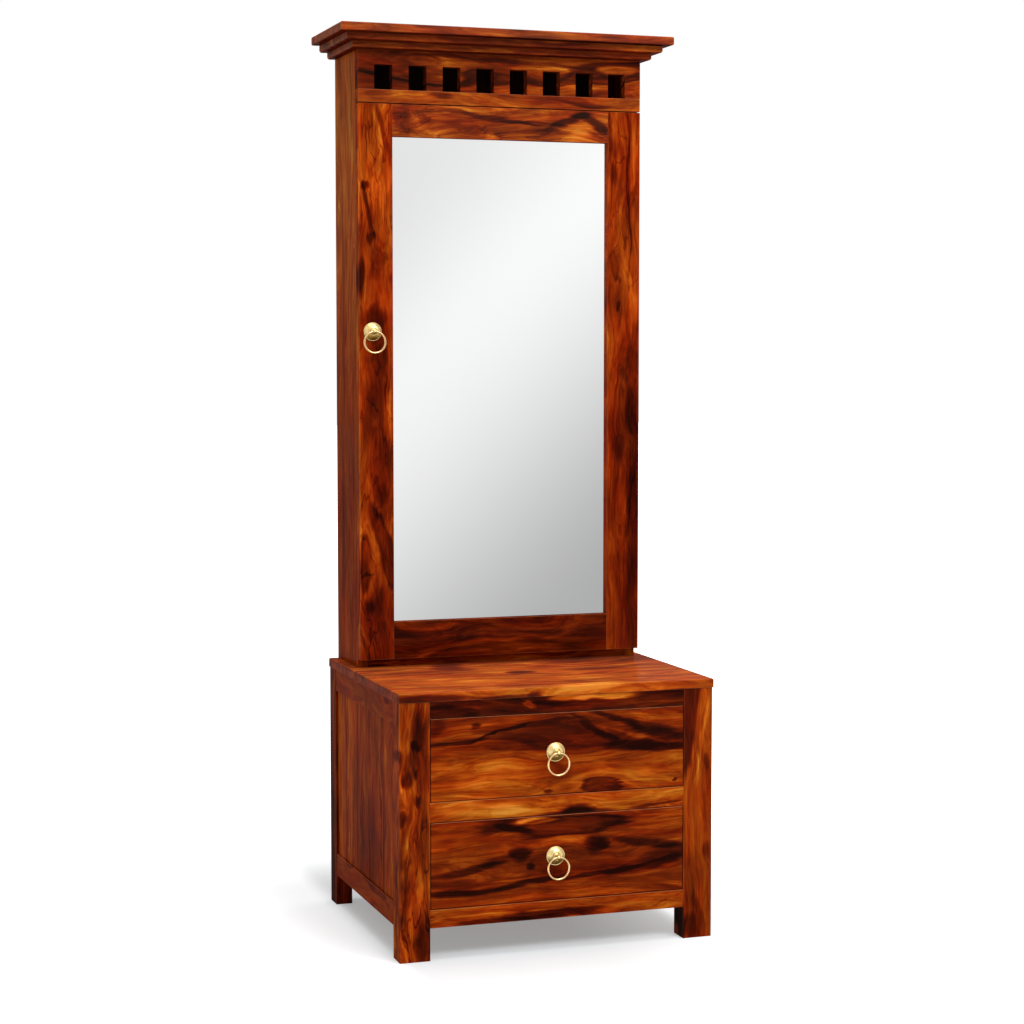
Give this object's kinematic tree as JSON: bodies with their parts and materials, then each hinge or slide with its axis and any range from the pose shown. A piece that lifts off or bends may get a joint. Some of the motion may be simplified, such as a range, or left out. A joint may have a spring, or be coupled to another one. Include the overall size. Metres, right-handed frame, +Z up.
{
  "type": "mirror cabinet",
  "caption": "Free-standing solid wood cabinet with a tall hinged mirror door, standing on a chest with sliding drawers and brass ring pulls.",
  "frame": {"origin": "on the floor, in the middle of the footprint from the drawer pulls to the back", "axes": "+X to the right seen from the front, +Y to the back, +Z up; the door faces -Y"},
  "size_m": [0.703, 0.554, 1.8],
  "materials": {
    "rosewood": "glossy lacquered Indian rosewood with dark figure",
    "drawer_wood": "plain pale hardwood, oiled",
    "plywood": "thin plywood, sealed",
    "mirror": "silvered float glass",
    "brass": "satin cast brass",
    "steel": "satin steel",
    "catch": "brown moulded catch body with a steel-faced magnet"
  },
  "bodies": {
    "carcass": {"front_left_post": "rosewood", "front_right_post": "rosewood", "back_left_post": "rosewood", "back_right_post": "rosewood", "base_top": "rosewood", "front_top_rail": "rosewood", "front_middle_rail": "rosewood", "front_bottom_rail": "rosewood", "left_top_rail": "rosewood", "right_top_rail": "rosewood", "left_bottom_rail": "rosewood", "right_bottom_rail": "rosewood", "left_side_panel": "rosewood", "right_side_panel": "rosewood", "back_top_rail": "rosewood", "back_bottom_rail": "rosewood", "base_back_panel": "plywood", "left_runners": "drawer_wood", "right_runners": "drawer_wood", "cabinet_left_side": "rosewood", "cabinet_right_side": "rosewood", "cabinet_bottom": "rosewood", "cabinet_ceiling": "rosewood", "shelf_1": "rosewood", "shelf_2": "rosewood", "shelf_3": "rosewood", "cabinet_back": "plywood", "frieze_rail": "rosewood", "frieze_board": "rosewood", "cornice_low_board": "rosewood", "cornice_middle_board": "rosewood", "cornice_top_board": "rosewood", "carcass_hinge_leaves": "steel", "hinge_pins": "steel", "magnet_catch": "catch"},
    "door": {"pull_stile": "rosewood", "hinge_stile": "rosewood", "door_top_rail": "rosewood", "door_bottom_rail": "rosewood", "mirror_glass": "mirror", "mirror_backing": "plywood", "mirror_beads": "rosewood", "door_pull_boss": "brass", "door_hinge_leaves": "steel", "strike_plate": "steel"},
    "upper_drawer": {"upper_drawer_front": "rosewood", "upper_drawer_left_side": "drawer_wood", "upper_drawer_right_side": "drawer_wood", "upper_drawer_back": "drawer_wood", "upper_drawer_bottom": "plywood", "upper_pull_boss": "brass"},
    "lower_drawer": {"lower_drawer_front": "rosewood", "lower_drawer_left_side": "drawer_wood", "lower_drawer_right_side": "drawer_wood", "lower_drawer_back": "drawer_wood", "lower_drawer_bottom": "plywood", "lower_pull_boss": "brass"},
    "door_ring": {"door_pull_ring": "brass"},
    "upper_ring": {"upper_pull_ring": "brass"},
    "lower_ring": {"lower_pull_ring": "brass"}
  },
  "joints": [
    {"name": "door_swing", "type": "hinge", "parent": "carcass", "child": "door", "pos_m": [0.3055, 0.1159, 1.091], "axis": [0, 0, 1], "range_deg": [0, 180]},
    {"name": "upper_drawer_slide", "type": "slide", "parent": "carcass", "child": "upper_drawer", "axis": [0, -1, 0], "range_m": [0, 0.3]},
    {"name": "lower_drawer_slide", "type": "slide", "parent": "carcass", "child": "lower_drawer", "axis": [0, -1, 0], "range_m": [0, 0.3]},
    {"name": "door_ring_swing", "type": "hinge", "parent": "door", "child": "door_ring", "pos_m": [-0.274, 0.07585, 1.196], "axis": [-1, 0, 0], "range_deg": [-22, 202]},
    {"name": "upper_ring_swing", "type": "hinge", "parent": "upper_drawer", "child": "upper_ring", "pos_m": [-0.008, -0.27205, 0.388], "axis": [-1, 0, 0], "range_deg": [-22, 202]},
    {"name": "lower_ring_swing", "type": "hinge", "parent": "lower_drawer", "child": "lower_ring", "pos_m": [-0.008, -0.27205, 0.1855], "axis": [-1, 0, 0], "range_deg": [-22, 202]}
  ]
}
